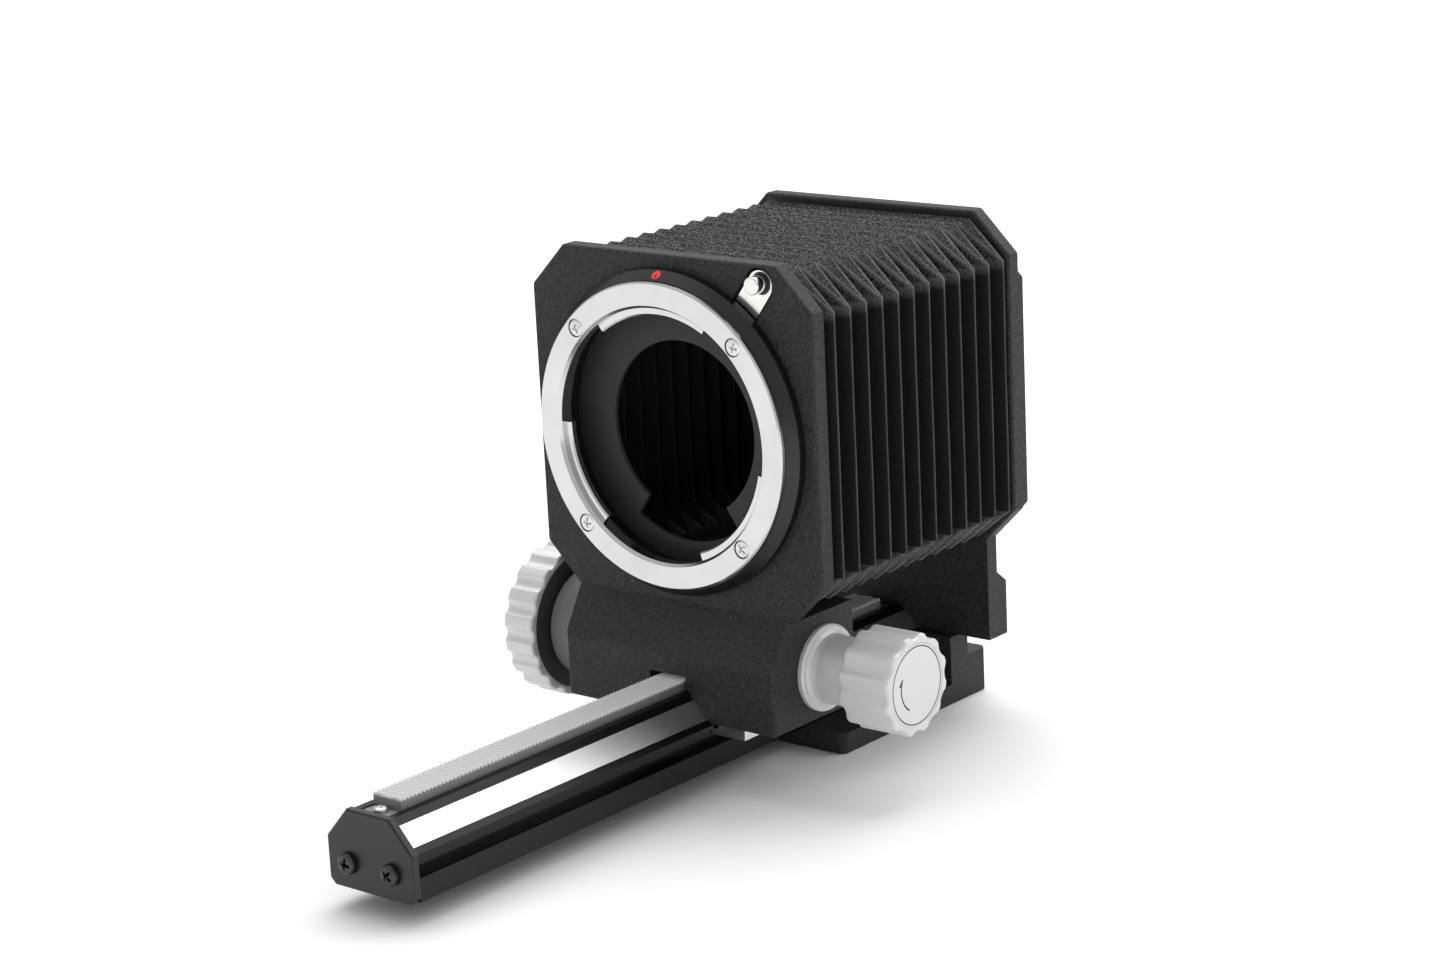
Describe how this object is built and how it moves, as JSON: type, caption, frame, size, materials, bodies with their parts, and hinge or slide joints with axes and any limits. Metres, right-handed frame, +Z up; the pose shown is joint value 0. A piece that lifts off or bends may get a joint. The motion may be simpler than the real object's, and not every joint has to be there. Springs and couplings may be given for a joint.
{
  "type": "close-up bellows attachment",
  "caption": "Macro bellows unit for a single-lens reflex camera: lens standard on a rack-driven rail, pleated bellows, fixed rear standard with rotating camera mount and tripod foot.",
  "frame": {"origin": "centre of the tripod socket's mouth in the underside of the foot", "axes": "+X to the right of a person facing the lens side, -Y towards the lens side along the rail, +Z up"},
  "size_m": [0.0872, 0.1588, 0.0983],
  "materials": {
    "black_crinkle": "fine crinkle paint on cast alloy",
    "black_anodised": "satin black anodised",
    "black_satin": "satin black",
    "black_steel": "black oxide",
    "bright_steel": "ground bright",
    "zinc_steel": "pale zinc plate",
    "chrome_ring": "satin chrome, circular brushing",
    "satin_aluminium": "pale satin anodised",
    "grey_boss": "satin grey",
    "dark_disc": "matte",
    "brass_gear": "machined",
    "nickel": "polished nickel",
    "red_paint": "gloss fill",
    "bellows_cloth": "crinkled leatherette over cloth"
  },
  "bodies": {
    "rail_assembly": {"rail": "black_anodised", "rail_strip_right": "bright_steel", "rail_strip_left": "bright_steel", "rack": "zinc_steel", "rack_screws": "zinc_steel", "end_plate": "black_satin", "end_plate_screws": "black_steel", "foot": "black_crinkle", "foot_screws": "zinc_steel", "tripod_bush": "bright_steel", "rear_standard": "black_crinkle", "rear_bellows_frame": "black_satin", "mount_retainer": "black_satin", "wave_spring": "bright_steel", "bellows": "bellows_cloth"},
    "carriage": {"front_standard": "black_crinkle", "front_bellows_frame": "black_satin", "lens_mount_base": "black_anodised", "lens_bayonet": "chrome_ring", "lens_bayonet_screws": "zinc_steel", "index_dot": "red_paint", "light_baffle": "black_satin", "keeper_right": "bright_steel", "keeper_left": "bright_steel", "keeper_screws": "zinc_steel", "drive_housing": "grey_boss", "clamp_collar": "satin_aluminium", "release_spring": "bright_steel"},
    "drive": {"drive_shaft": "bright_steel", "pinion": "brass_gear", "drive_knob": "satin_aluminium", "drive_knob_disc": "dark_disc", "drive_knob_cap": "satin_aluminium", "drive_knob_screw": "zinc_steel"},
    "brake": {"brake_pad": "brass_gear"},
    "clamp": {"clamp_knob": "satin_aluminium", "clamp_cap": "satin_aluminium", "clamp_screw": "bright_steel"},
    "camera_mount": {"camera_turntable": "black_anodised", "camera_bayonet": "chrome_ring", "camera_bayonet_screws": "zinc_steel"},
    "lens_release": {"release_lever": "nickel", "release_stud": "nickel"}
  },
  "joints": [
    {"name": "focus_slide", "type": "slide", "parent": "rail_assembly", "child": "carriage", "axis": [0, 1, 0], "range_m": [-0.076, 0.036], "deforming": ["bellows"]},
    {"name": "drive_turn", "type": "hinge", "parent": "carriage", "child": "drive", "pos_m": [0, -0.0319, 0.0221], "axis": [1, 0, 0], "range_deg": [-860, 1816]},
    {"name": "clamp_advance", "type": "slide", "parent": "carriage", "child": "brake", "axis": [-1, 0, 0], "range_m": [0, 0.000375]},
    {"name": "clamp_turn", "type": "hinge", "parent": "brake", "child": "clamp", "pos_m": [0.0346, -0.0319, 0.0221], "axis": [1, 0, 0], "range_deg": [-270.5, 0.5]},
    {"name": "camera_turn", "type": "hinge", "parent": "rail_assembly", "child": "camera_mount", "pos_m": [0, 0.0243, 0.0655], "axis": [0, 1, 0], "range_deg": [-90, 90]},
    {"name": "release_push", "type": "slide", "parent": "carriage", "child": "lens_release", "axis": [0, 1, 0], "range_m": [0, 0.001], "stiffness_N_per_m": 400, "springref_m": -0.002, "deforming": ["release_spring"]}
  ],
  "couplings": [
    {"joint": "drive_turn", "follows": "focus_slide", "rad_per_m": -416.67},
    {"joint": "clamp_turn", "follows": "clamp_advance", "rad_per_m": -12566}
  ]
}
